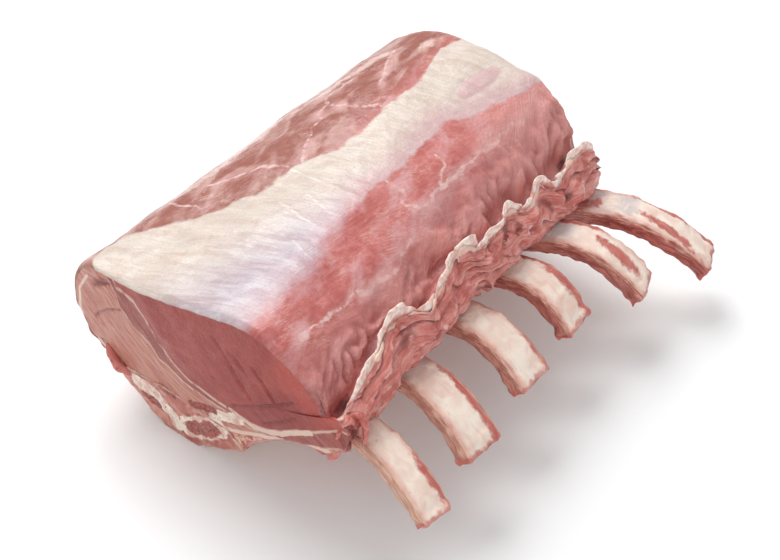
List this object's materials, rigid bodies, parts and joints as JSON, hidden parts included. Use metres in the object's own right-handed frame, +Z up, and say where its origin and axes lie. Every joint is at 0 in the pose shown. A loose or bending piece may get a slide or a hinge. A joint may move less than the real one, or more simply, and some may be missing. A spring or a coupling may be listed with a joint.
{
  "type": "frenched rack",
  "caption": "Raw frenched veal rack: a loin with silverskin and a flap of rib meat on its sawn chine bone, with the ribs cleaned at their ends.",
  "frame": {"origin": "on the floor under the middle of the box round the whole rack", "axes": "+X out along the ribs, +Y along the loin from its cut face to its far end, +Z up from the saw cut of the chine"},
  "size_m": [0.2272, 0.2536, 0.1139],
  "materials": {
    "meat": "moist",
    "bone": "satin"
  },
  "bodies": {
    "root": {"meat": "meat", "chine": "bone", "rib_1": "bone", "rib_2": "bone", "rib_3": "bone", "rib_4": "bone", "rib_5": "bone", "rib_6": "bone"}
  },
  "joints": []
}
